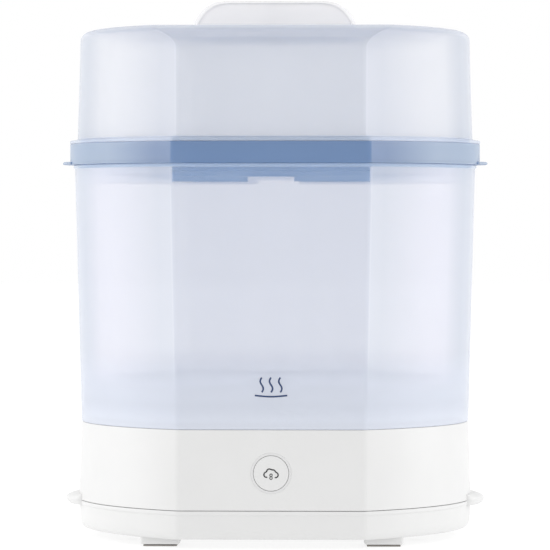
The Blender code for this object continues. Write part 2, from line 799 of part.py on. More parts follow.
def lid():
    skin = 0.0019
    shell = loft(
        "lid_shell",
        [
            oval(0.0555, 0.0335, LID_RECESS),
            oval(0.0575, 0.0355, LID_RECESS + 0.0010),
            oval(0.0595, 0.0375, LID_TOP - 0.0014),
            oval(0.0612, 0.0392, LID_TOP),
            *reversed(lid_top(0, 0)),
            plan(LID_FOOT_WIDTH, LID_BOTTOM + 0.0028, LID_FACET),
            plan(BAND_WIDTH - 0.0006, LID_BOTTOM + 0.0022, RIM_FACET),
            plan(BAND_WIDTH + 0.0003, LID_BOTTOM + 0.0014, RIM_FACET),
            plan(BAND_WIDTH + 0.0003, LID_BOTTOM + 0.0004, RIM_FACET),
            plan(BAND_WIDTH - 0.0002, LID_BOTTOM, RIM_FACET),
            plan(0.1338, LID_BOTTOM, LID_FACET),
            plan(0.1335, LID_BOTTOM - 0.0058, LID_FACET),
            plan(0.1316, LID_BOTTOM - 0.0058, LID_FACET),
            *lid_top(skin, skin),
            oval(0.0631, 0.0411, LID_TOP - skin),
            oval(0.0616, 0.0396, LID_TOP - skin - 0.0010),
            oval(0.0594, 0.0374, LID_RECESS - 0.0007),
            oval(0.0580, 0.0360, LID_RECESS - skin),
        ],
        FROSTED,
    )
    cut(shell, rod("handle_screw_hole", 0.0024, LID_RECESS - 0.004, LID_RECESS + 0.002, None, 16))
    vents = [(x, y, LID_RECESS) for x in (-0.022, 0, 0.022) for y in (-0.023, 0.023)]
    slots = [lambda at=at: block("steam_vents", (0.013, 0.003, 0.008), at, None) for at in vents]
    cut(shell, many("steam_vents", slots))

    handle = loft(
        "lid_handle",
        [
            oval(0.0300, 0.0032, HANDLE_TOP, 2.4),
            oval(0.0335, 0.0046, HANDLE_TOP - 0.0002, 2.4),
            oval(0.0409, 0.0070, HANDLE_TOP - 0.0018, 2.4),
            oval(0.0473, 0.0090, HANDLE_TOP - 0.0057, 2.4),
            oval(0.0520, 0.0104, HANDLE_TOP - 0.0111, 2.4),
            oval(0.0544, 0.0112, HANDLE_TOP - 0.0158, 2.4),
            oval(0.0550, 0.0120, LID_RECESS + GAP, 2.4),
            oval(0.0528, 0.0098, LID_RECESS + GAP, 2.4),
            oval(0.0522, 0.0090, HANDLE_TOP - 0.0165, 2.4),
            oval(0.0498, 0.0082, HANDLE_TOP - 0.0122, 2.4),
            oval(0.0452, 0.0069, HANDLE_TOP - 0.0074, 2.4),
            oval(0.0390, 0.0050, HANDLE_TOP - 0.0042, 2.4),
            oval(0.0320, 0.0028, HANDLE_TOP - 0.0026, 2.4),
            oval(0.0280, 0.0018, HANDLE_TOP - 0.0024, 2.4),
        ],
        MILKY,
    )
    join(handle, rod("handle_boss", 0.0076, LID_RECESS + GAP, HANDLE_TOP - 0.0045, None, 24))
    cut(handle, rod("handle_boss_hole", 0.0021, LID_RECESS - 0.002, LID_RECESS + 0.0140, None, 12))
    under = LID_RECESS - skin
    turned(
        "handle_washer",
        [(0.0060, under - GAP), (0.0060, under - 0.0015), (0.0026, under - 0.0015), (0.0026, under - GAP)],
        SILICONE,
        20,
        ring=True,
    )
    head_top = under - 0.0018
    screw("handle_screw", 0.0050, (head_top - 0.0026, head_top), 0.0017, (LID_RECESS + 0.0110, head_top), MILKY)


button_frame = facet_frame("button_axis", 0, BUTTON_HEIGHT, -1)
gland_frame = facet_frame("gland_axis", GLAND_X, GLAND_HEIGHT, 1)
bpy.context.view_layer.update()
base_housing()
bottom_cover()
heater()
button_and_board()
cord_gland()
wiring()
bottle_tub()
bottle_rack()
upper_tray()
lid()
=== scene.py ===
"""Looks of the bottle steriliser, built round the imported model.

Every height and width starts from a CAD node's box. Sizes are in metres, the front faces -Y, and +Z is up.
"""

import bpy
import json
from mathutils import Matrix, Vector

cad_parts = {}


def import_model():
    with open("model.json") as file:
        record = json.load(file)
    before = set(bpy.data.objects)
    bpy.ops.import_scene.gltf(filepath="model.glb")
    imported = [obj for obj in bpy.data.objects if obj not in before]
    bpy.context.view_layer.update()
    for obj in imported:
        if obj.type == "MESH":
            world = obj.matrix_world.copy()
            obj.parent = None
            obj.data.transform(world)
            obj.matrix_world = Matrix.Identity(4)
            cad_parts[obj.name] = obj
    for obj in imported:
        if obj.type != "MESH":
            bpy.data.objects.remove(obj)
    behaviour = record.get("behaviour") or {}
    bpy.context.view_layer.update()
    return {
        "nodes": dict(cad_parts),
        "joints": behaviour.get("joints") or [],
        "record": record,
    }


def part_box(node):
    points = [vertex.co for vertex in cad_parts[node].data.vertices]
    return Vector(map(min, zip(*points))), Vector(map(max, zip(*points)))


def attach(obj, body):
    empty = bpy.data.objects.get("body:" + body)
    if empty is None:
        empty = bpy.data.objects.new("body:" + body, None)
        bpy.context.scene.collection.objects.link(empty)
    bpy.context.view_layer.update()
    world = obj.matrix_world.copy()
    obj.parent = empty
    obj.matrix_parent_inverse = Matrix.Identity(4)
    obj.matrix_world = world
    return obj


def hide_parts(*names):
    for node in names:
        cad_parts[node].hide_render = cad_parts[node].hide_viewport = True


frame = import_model()

import json
import math

import bmesh
import bpy
from mathutils import Matrix, Vector

# ---------------------------------------------------------------- camera

SWING, DIP = math.radians(1.3), math.radians(0.93)  # turn about +Z, and how far the camera looks down
DISTANCE, EYE = 2.384, 0.2144
SENSOR = 36
FOCAL = 3519 / 550  # focal length as a multiple of the picture's width

lens = bpy.data.cameras.new("camera")
lens.sensor_width = SENSOR
lens.lens = SENSOR * FOCAL
camera = bpy.data.objects.new("camera", lens)
camera.location = (DISTANCE * math.sin(SWING), -DISTANCE * math.cos(SWING), EYE)
camera.rotation_euler = (math.pi / 2 - DIP, 0, SWING)
bpy.context.scene.collection.objects.link(camera)
bpy.context.scene.camera = camera
bpy.context.scene.view_settings.view_transform = "Standard"
bpy.context.scene.cycles.transparent_max_bounces = 48

# ---------------------------------------------------------------- sizes, from the CAD nodes


def top_of(node):
    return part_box(node)[1].z


def foot_of(node):
    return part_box(node)[0].z


def width_of(node):
    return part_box(node)[1].x


GAP = 0.0003
BASE_TOP = top_of("base_housing")
SEAM = top_of("bottom_cover") - 0.0033
COVER_FOOT = foot_of("bottom_cover") + 0.0045
BASE_WIDE = width_of("base_housing") - 0.0089  # half width at the seam, without the side lips
BASE_SLIM = BASE_WIDE - 0.0019
BASIN = foot_of("plate_gasket") - GAP
TUB_RIM = top_of("bottle_tub")
TUB_FOOT = BASE_TOP + 0.0001
TUB_WIDE = width_of("bottle_tub")
TUB_FOOT_WIDE, TUB_TOP_WIDE = TUB_WIDE - 0.0054, TUB_WIDE - 0.0009  # half widths of the tub's wall
TUB_FLOOR = foot_of("bottle_rack") - GAP
RACK_TOP = top_of("bottle_rack")
TRAY_TOP = top_of("upper_tray")
BAND_FOOT = TUB_RIM + GAP
BAND_WIDE = width_of("upper_tray") - 0.0052
TRAY_SKIRT = foot_of("upper_tray")
LID_FOOT = foot_of("lid_shell") + 0.0058
LID_TOP = top_of("lid_shell")
RECESS = foot_of("lid_handle") - GAP
HANDLE_TOP = top_of("lid_handle")
LID_WIDE = width_of("lid_shell") - 0.0072  # half width at the shoulder

BASE_FACET, RIM_FACET, LID_FACET = 0.0608, 0.0640, 0.0604  # half widths of the flat front
POWER, SQUASH = 1.9, 0.002  # the rounded ends follow a superellipse
CREASE = 0.0021  # how far the bend between facet and rounded end reaches
LOBE, BEND, FLAT = 22, 4, 6  # segments of a quarter of the outline
SEATS = [(0, -0.070), (0, 0.070), (-0.084, -0.035), (-0.084, 0.035), (0.084, -0.035), (0.084, 0.035)]
COVER_SCREWS = [(x, y) for x in (-0.095, 0.095) for y in (-0.040, 0.040)]
PLATE_HOLE = 0.062  # radius of the hole in the basin floor
SIDE_LIP, TAB = 0.027, 0.024  # half lengths of the base's side lips and of the tray's tabs

# ---------------------------------------------------------------- outlines, one ring of points each


def flat_depth(width, facet):
    return (width - SQUASH) * (1 - (facet / width) ** POWER) ** (1 / POWER)


def flat_reach(width, depth):
    return width * (1 - (depth / (width - SQUASH)) ** POWER) ** (1 / POWER)


def wall_x(y, width):
    return width * (1 - abs(y / (width - SQUASH)) ** POWER) ** (1 / POWER)


def bezier(a, b, c, t):
    return a.lerp(b, t).lerp(b.lerp(c, t), t)


def plan(width, height, facet=BASE_FACET):
    """The body's outline: rounded left and right ends, flat front and back, and a soft bend between them."""
    deep, flat = width - SQUASH, flat_depth(width, facet)
    last = math.asin((flat / deep) ** (POWER / 2))

    def lobe(turn):
        return Vector((width * math.cos(turn) ** (2 / POWER), deep * math.sin(turn) ** (2 / POWER), height))

    stop = last - CREASE * 0.01 / (lobe(last) - lobe(last - 0.01)).length
    corner, landing = Vector((facet, flat, height)), Vector((facet - CREASE, flat, height))
    quarter = [lobe(stop * step / LOBE) for step in range(LOBE + 1)]
    quarter += [bezier(lobe(stop), corner, landing, step / BEND) for step in range(1, BEND + 1)]
    quarter += [landing.lerp(Vector((0, flat, height)), step / FLAT) for step in range(1, FLAT + 1)]
    half = quarter + [Vector((-p.x, p.y, height)) for p in reversed(quarter[:-1])]
    return half + [Vector((p.x, -p.y, height)) for p in reversed(half[1:-1])]


DIRECTIONS = [math.atan2(p.y, p.x) for p in plan(BASE_SLIM, 0)]


def oval(half_x, half_y, height, power=2.0):
    """An oval whose points lie in the same directions as plan()'s, so that the two can be joined."""
    ring = []
    for turn in DIRECTIONS:
        c, s = math.cos(turn), math.sin(turn)
        x = half_x * math.copysign(abs(c) ** (2 / power), c)
        y = half_y * math.copysign(abs(s) ** (2 / power), s)
        ring.append(Vector((x, y, height)))
    return ring


def softened(corners, closed=False, steps=3):
    """Rings through the corners, each rounded off by its own radius. corners lists (ring, radius)."""
    rings = []
    for i, (ring, radius) in enumerate(corners):
        at_end = not closed and i in (0, len(corners) - 1)
        if at_end or not radius:
            rings.append(ring)
            continue
        sides = []
        for other in (corners[i - 1][0], corners[(i + 1) % len(corners)][0]):
            shares = [min(0.45, radius / max((b - a).length, 1e-6)) for a, b in zip(ring, other)]
            sides.append([a.lerp(b, share) for a, b, share in zip(ring, other, shares)])
        for step in range(steps + 1):
            rings.append([bezier(a, b, c, step / steps) for a, b, c in zip(sides[0], ring, sides[1])])
    return rings


# ---------------------------------------------------------------- mesh helpers


def from_bmesh(name, bm):
    mesh = bpy.data.meshes.new(name)
    bm.to_mesh(mesh)
    bm.free()
    obj = bpy.data.objects.new(name, mesh)
    bpy.context.scene.collection.objects.link(obj)
    return obj


def loft(name, rings, closed=False):
    bm = bmesh.new()
    loops = [[bm.verts.new(point) for point in ring] for ring in rings]
    spans = list(zip(loops, loops[1:]))
    if closed:
        spans.append((loops[-1], loops[0]))
    else:
        bm.faces.new(loops[0])
        bm.faces.new(loops[-1])
    for near, far in spans:
        for i in range(len(near)):
            bm.faces.new((near[i - 1], near[i], far[i], far[i - 1]))
    bmesh.ops.recalc_face_normals(bm, faces=bm.faces)
    return from_bmesh(name, bm)


def lathe(name, profile, closed=False, steps=96, matrix=None):
    """A turned piece. The profile lists (radius, height, rounding)."""
    corners = []
    for radius, height, rounding in profile:
        turns = [2 * math.pi * step / steps for step in range(steps)]
        ring = [Vector((radius * math.cos(turn), radius * math.sin(turn), height)) for turn in turns]
        corners.append((ring, rounding))
    obj = loft(name, softened(corners, closed), closed)
    if matrix:
        obj.data.transform(matrix)
    return obj


def rounded_box(name, size, centre, bevel, segments=3):
    bm = bmesh.new()
    bmesh.ops.create_cube(bm, size=1)
    bmesh.ops.scale(bm, vec=Vector(size), verts=bm.verts)
    if bevel:
        bmesh.ops.bevel(bm, geom=bm.edges[:], offset=bevel, segments=segments, profile=0.5, affect="EDGES")
    bmesh.ops.translate(bm, vec=Vector(centre), verts=bm.verts)
    return from_bmesh(name, bm)


def rods(name, places, radius, low, high, steps=32, matrix=None):
    """Several upright cylinders in one mesh."""
    bm = bmesh.new()
    for x, y in places:
        made = bmesh.ops.create_cone(
            bm, cap_ends=True, segments=steps, radius1=radius, radius2=radius, depth=high - low
        )
        bmesh.ops.translate(bm, vec=(x, y, (low + high) / 2), verts=made["verts"])
    obj = from_bmesh(name, bm)
    if matrix:
        obj.data.transform(matrix)
    return obj


def merge(name, objects):
    """Joins the objects' meshes into one object, as they lie."""
    bm = bmesh.new()
    for obj in objects:
        bm.from_mesh(obj.data)
        bpy.data.objects.remove(obj)
    return from_bmesh(name, bm)


def carve(obj, *cutters):
    """Cuts each cutter out of obj, for good."""
    for cutter in cutters:
        change = obj.modifiers.new("cut", "BOOLEAN")
        change.operation = "DIFFERENCE"
        change.object = cutter
    bpy.context.view_layer.update()
    graph = bpy.context.evaluated_depsgraph_get()
    obj.data = bpy.data.meshes.new_from_object(obj.evaluated_get(graph))
    obj.modifiers.clear()
    for cutter in cutters:
        bpy.data.objects.remove(cutter)
    return obj


def ribbon(name, strokes, radius, matrix, flatten=1.0):
    """Thin drawn lines: round cords along strokes of (x, y, z) points, pressed flat along Z."""
    curve = bpy.data.curves.new(name, "CURVE")
    curve.dimensions = "3D"
    curve.bevel_depth = radius
    curve.bevel_resolution = 3
    curve.use_fill_caps = True
    for stroke in strokes:
        spline = curve.splines.new("POLY")
        spline.points.add(len(stroke) - 1)
        for point, place in zip(spline.points, stroke):
            point.co = (*place, 1)
    drawn = bpy.data.objects.new(name + "_line", curve)
    bpy.context.scene.collection.objects.link(drawn)
    bpy.context.view_layer.update()
    graph = bpy.context.evaluated_depsgraph_get()
    mesh = bpy.data.meshes.new_from_object(drawn.evaluated_get(graph))
    bpy.data.objects.remove(drawn)
    mesh.transform(matrix @ Matrix.Scale(flatten, 4, (0, 0, 1)))
    mesh.name = name
    obj = bpy.data.objects.new(name, mesh)
    bpy.context.scene.collection.objects.link(obj)
    return obj


def finish_piece(obj, material, body, replaces=(), angle=32):
    """Smooth shading with crisp corners, the material, and the body it rides on."""
    obj.data.materials.clear()
    obj.data.materials.append(material)
    for face in obj.data.polygons:
        face.material_index = 0
    obj.data.shade_smooth()
    obj.data.set_sharp_from_angle(angle=math.radians(angle))
    normals = obj.modifiers.new("normals", "WEIGHTED_NORMAL")
    normals.keep_sharp = True
    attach(obj, body)
    if replaces:
        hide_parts(*replaces)
    return obj


# ---------------------------------------------------------------- materials

EDGE_FADE, SIDE_FADE = 0.0004, 0.0006  # how far a band of plastic fades at its foot and top, and at its sides


class Paint:
    """A material whose Principled shader is fed by nodes in the piece's own coordinates."""

    def __init__(self, name, roughness, metallic=0.0, **sockets):
        self.material = bpy.data.materials.new(name)
        self.material.use_nodes = True
        self.nodes = self.material.node_tree.nodes
        self.shader = self.nodes["Principled BSDF"]
        self.shader.inputs["Roughness"].default_value = roughness
        self.shader.inputs["Metallic"].default_value = metallic
        for socket, value in sockets.items():
            self.shader.inputs[socket.replace("_", " ")].default_value = value
        coordinates = self.nodes.new("ShaderNodeTexCoord").outputs
        self.place, self.normal = coordinates["Object"], coordinates["Normal"]

    def link(self, output, socket):
        self.material.node_tree.links.new(output, socket)

    def add(self, kind, inputs=(), **settings):
        """A node with its settings, and its inputs by index or name: a socket is linked, a value is set."""
        node = self.nodes.new("ShaderNode" + kind)
        for setting, value in settings.items():
            setattr(node, setting, value)
        for key, value in dict(inputs).items():
            if isinstance(value, bpy.types.NodeSocket):
                self.link(value, node.inputs[key])
            else:
                node.inputs[key].default_value = value
        return node

    def noise(self, scale, detail=2.0, stretch=(1, 1, 1)):
        place = self.add("Mapping", {"Vector": self.place, "Scale": stretch}).outputs[0]
        return self.add("TexNoise", {"Vector": place, "Scale": scale, "Detail": detail}).outputs[0]

    def ramp(self, factor, stops):
        """A colour ramp. stops lists (position, colour)."""
        node = self.add("ValToRGB", {0: factor})
        node.color_ramp.elements.remove(node.color_ramp.elements[1])
        for i, (position, colour) in enumerate(stops):
            element = node.color_ramp.elements[0] if i == 0 else node.color_ramp.elements.new(position)
            element.position = position
            element.color = (*colour, 1)
        return node.outputs[0]

    def span(self, value, low, high, out_low, out_high, smooth=False):
        kind = "SMOOTHSTEP" if smooth else "LINEAR"
        sockets = {0: value, 1: low, 2: high, 3: out_low, 4: out_high}
        return self.add("MapRange", sockets, interpolation_type=kind, clamp=True).outputs[0]

    def math(self, operation, a, b):
        return self.add("Math", {0: a, 1: b}, operation=operation, use_clamp=True).outputs[0]

    def mix(self, factor, a, b):
        """A colour between a and b."""
        node = self.add("Mix", data_type="RGBA")
        for index, value in ((0, factor), (6, a), (7, b)):
            if isinstance(value, bpy.types.NodeSocket):
                self.link(value, node.inputs[index])
            else:
                node.inputs[index].default_value = value if index == 0 else (*value, 1)
        return node.outputs[2]

    def axis(self, index):
        return self.add("SeparateXYZ", {0: self.place}).outputs[index]

    def colour(self, output):
        self.link(output, self.shader.inputs["Base Color"])

    def tint(self, colour, amount, scale=35.0):
        """The colour, varied a little by soft clouds."""
        dark = [c * (1 - amount) for c in colour]
        light = [min(1.0, c * (1 + amount)) for c in colour]
        shown = self.ramp(self.noise(scale, 1.0), [(0.3, dark), (0.7, light)])
        self.colour(shown)
        return shown

    def rough(self, low, high, scale=60.0):
        varied = self.span(self.noise(scale, 1.0), 0.3, 0.7, low, high, smooth=True)
        self.link(varied, self.shader.inputs["Roughness"])

    def bump(self, factor, strength, distance):
        node = self.add("Bump", {"Strength": strength, "Distance": distance, "Height": factor})
        self.link(node.outputs[0], self.shader.inputs["Normal"])

    def blend(self, factor, a, b):
        """A number between a and b."""
        return self.add("Mix", {0: factor, 2: a, 3: b}, data_type="FLOAT").outputs[0]

    def turned(self, index):
        """How far the surface faces along an axis, from -1 to 1."""
        return self.add("SeparateXYZ", {0: self.normal}).outputs[index]

    def sideways(self):
        """0 on the flat facets and on top, rising to 1 where a wall faces left or right."""
        return self.add("Math", {0: self.turned(0)}, operation="ABSOLUTE").outputs[0]

    def on_ends(self):
        """0 on the flat facets, and 1 on the rounded ends."""
        return self.span(self.sideways(), 0.28, 0.46, 0, 1, smooth=True)

    def see_through(self, face, edge, ends=None):
        """How much a skin hides, as glass does: seen square on, seen edge on, and on the rounded ends."""
        facing = self.add("LayerWeight", {"Blend": 0.35}).outputs["Facing"]
        streaks = self.noise(26.0, 1.0, (1, 1, 0.06))
        hidden = self.span(streaks, 0.3, 0.7, face - 0.01, face + 0.01, smooth=True)
        if ends:
            hidden = self.blend(self.on_ends(), hidden, ends)
        return self.blend(self.span(facing, 0.15, 0.95, 0, 1, smooth=True), hidden, edge)

    def painted_end_light(self, shown, near, far, side=None):
        """Painted light on the rounded ends: a painted highlight line at the bend, then near, far and side
        tones going round, given lighter where the ends face the side lamps and darker at the sides.
        """
        # painted highlight: the bend is a tenth lighter than the near tone
        bend = [min(1.0, tone * 1.10) for tone in near]
        stops = [(0.46, bend), (0.56, near), (0.78, far)]
        if side:
            stops += [(0.855, far), (0.93, side)]
        return self.mix(self.on_ends(), shown, self.ramp(self.sideways(), stops))

    def alpha(self, output):
        self.link(output, self.shader.inputs["Alpha"])


def white_plastic():
    paint = Paint("satin_white", 0.38, Specular_IOR_Level=0.45)
    paint.tint((0.745, 0.745, 0.742), 0.008)
    paint.rough(0.34, 0.44)
    paint.bump(paint.noise(1400.0, 2.0), 0.10, 0.00004)
    return paint.material


def frosted(name, colour, face, edge, roughness=0.36, ends=None, top_shade=None, bands=()):
    """Frosted see-through plastic.

    ends is how much the rounded ends hide, then their tones from the facets outwards, which are painted
    light: sheen where the ends face the side lamps, and painted shade at their sides. The colour where a skin
    faces up is painted shade that darkens the top. bands lists (foot, top, how much it hides, colour, how far
    its top fades, reach).
    reach is how near to the middle the band starts and ends, or None for a band that goes all round.
    """
    paint = Paint(name, roughness, Specular_IOR_Level=0.40)
    shown = paint.tint(colour, 0.010, 14.0)
    hidden = paint.see_through(face, edge, ends and ends[0])
    # The rounded ends' tones are painted light: a highlight line at the bend, sheen towards the side lamps,
    # and shade at the sides.
    if ends:
        shown = paint.painted_end_light(shown, *ends[1:])
    # Painted shade: where a skin faces up it takes the darker top colour.
    if top_shade:
        upward = paint.span(paint.turned(2), 0.20, 0.80, 0, 1, smooth=True)
        shown = paint.mix(upward, shown, top_shade)
    height = paint.axis(2)
    aside = paint.add("Math", {0: paint.axis(0)}, operation="ABSOLUTE").outputs[0]
    for foot, top, amount, tone, fade, reach in bands:
        above = paint.span(height, foot - EDGE_FADE, foot + EDGE_FADE, 0, 1)
        below = paint.span(height, top - fade, top + EDGE_FADE, 1, 0, smooth=True)
        inside = paint.math("MULTIPLY", above, below)
        if reach:
            near, far = reach
            inside = paint.math("MULTIPLY", inside, paint.span(aside, near, near + SIDE_FADE, 0, 1))
            inside = paint.math("MULTIPLY", inside, paint.span(aside, far - SIDE_FADE, far, 1, 0))
        hidden = paint.blend(inside, hidden, amount)
        shown = paint.mix(inside, shown, tone)
    paint.colour(shown)
    paint.alpha(hidden)
    paint.rough(roughness - 0.03, roughness + 0.03, 16.0)
    paint.bump(paint.noise(900.0, 1.0), 0.05, 0.00004)
    return paint.material


def brushed(name, colour, scale=420.0, metal=1.0, rings=True):
    """Metal with fine lines, in rings about the vertical axis or along X."""
    paint = Paint(name, 0.3, metal)
    paint.tint(colour, 0.06, 160.0)
    if rings:
        wave = paint.add(
            "TexWave",
            {"Vector": paint.place, "Scale": scale, "Distortion": 1.5, "Detail": 3.0},
            wave_type="RINGS",
            rings_direction="Z",
        )
        lines = wave.outputs["Fac"] if "Fac" in wave.outputs else wave.outputs[1]
    else:
        lines = paint.noise(scale, 4.0, (0.05, 1, 1))
    paint.link(paint.span(lines, 0, 1, 0.22, 0.42), paint.shader.inputs["Roughness"])
    paint.bump(lines, 0.15, 0.00005)
    return paint.material


def matt(name, colour, roughness, amount=0.08, grain=700.0, depth=0.00012):
    paint = Paint(name, roughness)
    paint.tint(colour, amount, 80.0)
    paint.rough(roughness - 0.08, min(1.0, roughness + 0.08))
    paint.bump(paint.noise(grain, 3.0), 0.3, depth)
    return paint.material


def board_material():
    """Green lacquer with paler tracks."""
    paint = Paint("board_lacquer", 0.35)
    sockets = {"Vector": paint.place, "Scale": 260.0}
    cells = paint.add("TexVoronoi", sockets, distance="MANHATTAN", feature="F1").outputs["Distance"]
    paint.colour(paint.ramp(cells, [(0.30, (0.03, 0.20, 0.09)), (0.42, (0.06, 0.30, 0.14))]))
    paint.rough(0.3, 0.45)
    return paint.material


WHITE = white_plastic()
FACET = (-1, RIM_FACET)  # reach of a band that stays on the flat facets
CLEARER = (0.10, (0.62, 0.72, 0.90), EDGE_FADE)  # lets the tray's skirt show through the tub
TUB = frosted(
    "frosted_tub",
    (0.76, 0.79, 0.89),
    0.33,
    0.66,
    # Rounded ends: how much they hide, then painted light: lighter near and far tones, and painted shade at
    # the sides.
    ends=(0.32, (0.80, 0.83, 0.91), (0.86, 0.865, 0.95), (0.70, 0.735, 0.815)),
    bands=[
        (TRAY_SKIRT + 0.0031, TUB_RIM - 0.0022, *CLEARER, FACET),
        (TRAY_SKIRT - 0.0004, TRAY_SKIRT + 0.0031, *CLEARER, (0.0148, RIM_FACET)),  # not in the notch
        (TUB_RIM - 0.0022, TUB_RIM, 0.34, (0.62, 0.76, 0.96), EDGE_FADE, None),
        # Low on the tub the frosting is denser, and its paler colour is painted light that covers the shaded
        # base inside.
        (TUB_FOOT + 0.0020, RACK_TOP + 0.0200, 0.62, (0.78, 0.82, 0.915), 0.0300, None),
        (TUB_FOOT - 0.0070, TUB_FOOT + 0.0160, 0.80, (0.765, 0.805, 0.90), 0.0140, None),
    ],
)
LID = frosted(
    "clear_lid",
    (0.72, 0.75, 0.83),
    0.33,
    0.66,
    # Rounded ends: how much they hide, then painted light: lighter near and far tones, and painted shade at
    # the sides.
    ends=(0.32, (0.765, 0.79, 0.865), (0.83, 0.84, 0.885), (0.675, 0.705, 0.77)),
    # Painted shade: a darker colour where the lid faces up.
    top_shade=(0.63, 0.67, 0.765),
    bands=[
        (LID_FOOT - 0.0060, LID_FOOT + 0.0030, 0.36, (0.60, 0.69, 0.86), EDGE_FADE, None),
        (LID_FOOT - 0.0060, LID_FOOT + 0.0030, 0.50, (0.40, 0.49, 0.64), EDGE_FADE, FACET),
    ],
)
# How much the band's rounded ends hide, then their painted sheen: lighter tones where they face the side
# lamps.
BLUE_ENDS_PAINTED_SHEEN = (0.60, (0.29, 0.38, 0.56), (0.41, 0.50, 0.64))
BLUE = frosted("blue_band", (0.175, 0.285, 0.50), 0.72, 0.80, ends=BLUE_ENDS_PAINTED_SHEEN)
# How much the skirt's rounded ends hide, then their painted sheen: lighter tones where they face the side
# lamps.
SKIRT_ENDS_PAINTED_SHEEN = (0.30, (0.50, 0.62, 0.80), (0.78, 0.84, 0.92))
BLUE_SKIRT = frosted("blue_skirt", (0.30, 0.46, 0.71), 0.58, 0.75, ends=SKIRT_ENDS_PAINTED_SHEEN)
RACK = frosted("pale_rack", (0.90, 0.93, 0.985), 0.50, 0.72)
MILKY = frosted("milky_handle", (0.99, 0.98, 0.99), 0.33, 0.62)
MILKY_CORE = frosted("milky_core", (0.98, 0.98, 0.98), 0.10, 0.34)
HALO = frosted("button_halo", (0.74, 0.74, 0.74), 0.96, 0.98)
STEEL = brushed("brushed_steel", (0.62, 0.62, 0.63))
SCREW_STEEL = brushed("screw_steel", (0.58, 0.58, 0.59), 900.0)
ALUMINIUM = brushed("cast_aluminium", (0.70, 0.70, 0.71), 300.0, rings=False)
SILICONE = matt("silicone_seal", (0.84, 0.85, 0.87), 0.6, 0.03)
RUBBER = matt("foot_rubber", (0.30, 0.28, 0.26), 0.85)
BLACK = matt("black_resin", (0.03, 0.03, 0.03), 0.5)
BOARD = board_material()
LAMP = matt("lamp_lens", (0.30, 0.45, 0.85), 0.25, 0.05)
BROWN_WIRE = matt("brown_insulation", (0.24, 0.10, 0.04), 0.5)
BLUE_WIRE = matt("blue_insulation", (0.05, 0.14, 0.50), 0.5)
EARTH_WIRE = matt("earth_insulation", (0.35, 0.50, 0.05), 0.5)
# Grey for the painted shade line along the handle's inner outline.
EDGE_SHADE_GREY = matt("painted_edge_shade", (0.60, 0.60, 0.63), 0.5, 0.03)
INK = matt("dark_ink", (0.03, 0.03, 0.032), 0.5, 0.05)
BLUE_INK = matt("blue_ink", (0.02, 0.045, 0.13), 0.45, 0.05)

# ---------------------------------------------------------------- frames of the button and the cord bush


def axis_frame(node, inward):
    """A matrix whose origin is the middle of the node's outer face, and whose +Z points into the wall."""
    points = [vertex.co for vertex in frame["nodes"][node].data.vertices]
    nearest = min(point.dot(inward) for point in points)
    face = [point for point in points if point.dot(inward) < nearest + 1e-5]
    corners = [Vector(pick(point[axis] for point in face) for axis in range(3)) for pick in (min, max)]
    origin = (corners[0] + corners[1]) / 2
    across = Vector((1, 0, 0))
    matrix = Matrix((across, inward.cross(across), inward)).transposed().to_4x4()
    matrix.translation = origin
    return matrix


joint = next(j for j in frame["joints"] if j["name"] == "button_press")
press = Vector(joint["axis"]).normalized()
button_frame = axis_frame("start_button", press) @ Matrix.Translation((0, 0, 0.0003))
gland_frame = axis_frame("cord_gland", Vector((0, -press.y, press.z))) @ Matrix.Translation((0, 0, 0.0036))


def side_lip(width, half_length, levels, steps=28):
    """Left and right lips along the rounded ends. levels lists (reach beyond the wall, height)."""
    root, proud = 0.0010, 0.0002  # how deep the lip is rooted in the wall, and how far it always stands out
    sides = []
    for sign in (-1, 1):
        rings = []
        for reach, height in levels:
            ends = [half_length * math.sin(math.pi / 2 * (2 * step / steps - 1)) for step in range(steps + 1)]
            inner = [Vector((sign * (wall_x(y, width) - root), y, height)) for y in ends]
            outer = []
            for y in reversed(ends):
                swell = reach * math.sqrt(max(0.0, 1 - (y / half_length) ** 2))
                outer.append(Vector((sign * (wall_x(y, width) + proud + swell), y, height)))
            rings.append(inner + outer)
        sides.append(loft("lip", rings))
    return merge("side_lips", sides)


# ---------------------------------------------------------------- heating base


def base_housing():
    wall_foot = SEAM + GAP
    shell = loft(
        "housing_shell",
        softened(
            [
                (plan(BASE_SLIM, BASE_TOP), 0.0009),
                (plan(BASE_WIDE, wall_foot), 0.0004),
                (plan(BASE_WIDE - 0.0024, wall_foot), 0.0004),
                (plan(BASE_SLIM - 0.0023, BASIN + 0.0103), 0.0010),
                (plan(BASE_SLIM - 0.0093, BASIN + 0.0091), 0.0020),
                (plan(BASE_SLIM - 0.0167, BASIN - 0.0025), 0.0020),
                (oval(PLATE_HOLE, PLATE_HOLE, BASIN - 0.0025), 0.0005),
                (oval(PLATE_HOLE, PLATE_HOLE, BASIN), 0.0005),
                (plan(BASE_SLIM - 0.0159, BASIN), 0.0030),
                (plan(BASE_SLIM - 0.0073, BASIN + 0.0115), 0.0025),
                (plan(BASE_SLIM - 0.0034, BASIN + 0.0135), 0.0012),
                (plan(BASE_SLIM - 0.0032, BASE_TOP), 0.0006),
            ],
            closed=True,
        ),
        closed=True,
    )
    carve(
        shell,
        rods("button_hole", [(0, 0)], 0.01328, -0.0040, 0.0090, 128, button_frame),
        rods("gland_hole", [(0, 0)], 0.0062, -0.0040, 0.0090, 64, gland_frame),
    )
    levels = [
        (0.0087, SEAM + 0.00003),
        (0.0088, SEAM + 0.0005),
        (0.0087, SEAM + 0.0010),
        (0.0084, SEAM + 0.0016),
        (0.0074, SEAM + 0.0025),
        (0.0058, SEAM + 0.0032),
        (0.0036, SEAM + 0.0038),
        (0.0012, SEAM + 0.0043),
    ]
    shell = merge("housing_shell", [shell, side_lip(BASE_WIDE, SIDE_LIP, levels)])
    finish_piece(shell, WHITE, "base", ["base_housing"])


